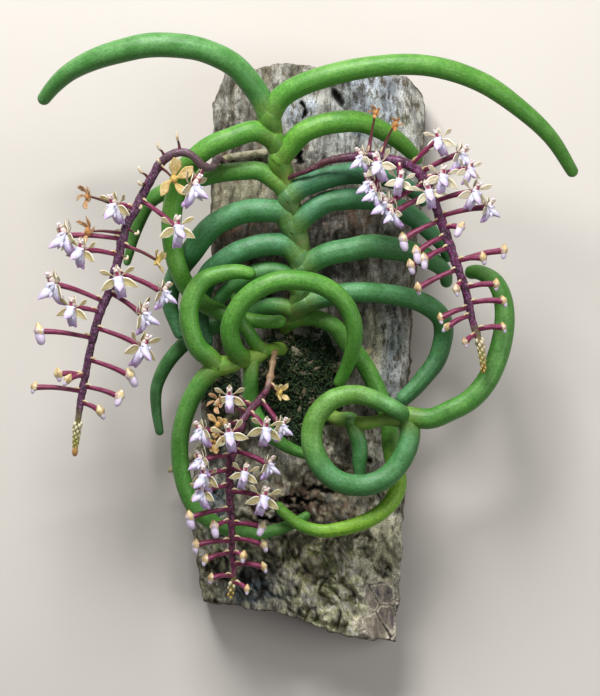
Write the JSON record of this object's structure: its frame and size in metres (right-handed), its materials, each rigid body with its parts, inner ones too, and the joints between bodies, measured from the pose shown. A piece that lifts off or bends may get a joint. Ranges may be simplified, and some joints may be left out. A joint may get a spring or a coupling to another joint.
{
  "type": "cleisostoma arietinum orchid mounted on a bark slab",
  "caption": "Epiphytic orchid on a flat-backed slab of bark, with long horn-like curling leaves in two rows and hanging racemes of small starry blooms and buds.",
  "frame": {"origin": "on the bark slab's flat back, under the foot of the plant, near the middle of the slab", "axes": "+Z out of the bark towards the viewer, +Y along the slab towards the tip of the plant's main stem, +X to the right"},
  "size_m": [0.1467, 0.1635, 0.0523],
  "materials": {
    "bark": "rough grey-brown bark with pale lichen",
    "stem": "olive-green leaf sheaths, satin",
    "young_leaf": "waxy bright green leaf, satin",
    "old_leaf": "waxy blue-green leaf, satin",
    "root": "silvery grey-green root skin, matt",
    "moss": "dark green moss",
    "raceme": "magenta stalks with lilac and cream petals"
  },
  "bodies": {
    "root": {"bark_slab": "bark", "stem_main": "stem", "stem_left_shoot": "stem", "stem_right_shoot": "stem", "leaf_main_1_left": "young_leaf", "leaf_main_1_right": "young_leaf", "leaf_main_2_left": "young_leaf", "leaf_main_2_right": "young_leaf", "leaf_main_3_left": "young_leaf", "leaf_main_3_right": "old_leaf", "leaf_main_4_left": "old_leaf", "leaf_main_4_right": "old_leaf", "leaf_main_5_left": "old_leaf", "leaf_main_5_right": "old_leaf", "leaf_main_6_left": "old_leaf", "leaf_main_6_right": "old_leaf", "leaf_main_7_left": "old_leaf", "leaf_main_7_right": "young_leaf", "leaf_left_1": "young_leaf", "leaf_left_2": "young_leaf", "leaf_left_3": "young_leaf", "leaf_left_4": "young_leaf", "leaf_left_5": "young_leaf", "leaf_right_1": "young_leaf", "leaf_right_2": "old_leaf", "leaf_right_3": "old_leaf", "root_upper": "root", "root_left": "root", "root_right": "root", "moss_centre": "moss", "moss_left": "moss", "raceme_left": "raceme", "raceme_right": "raceme", "raceme_bottom": "raceme"}
  },
  "joints": []
}
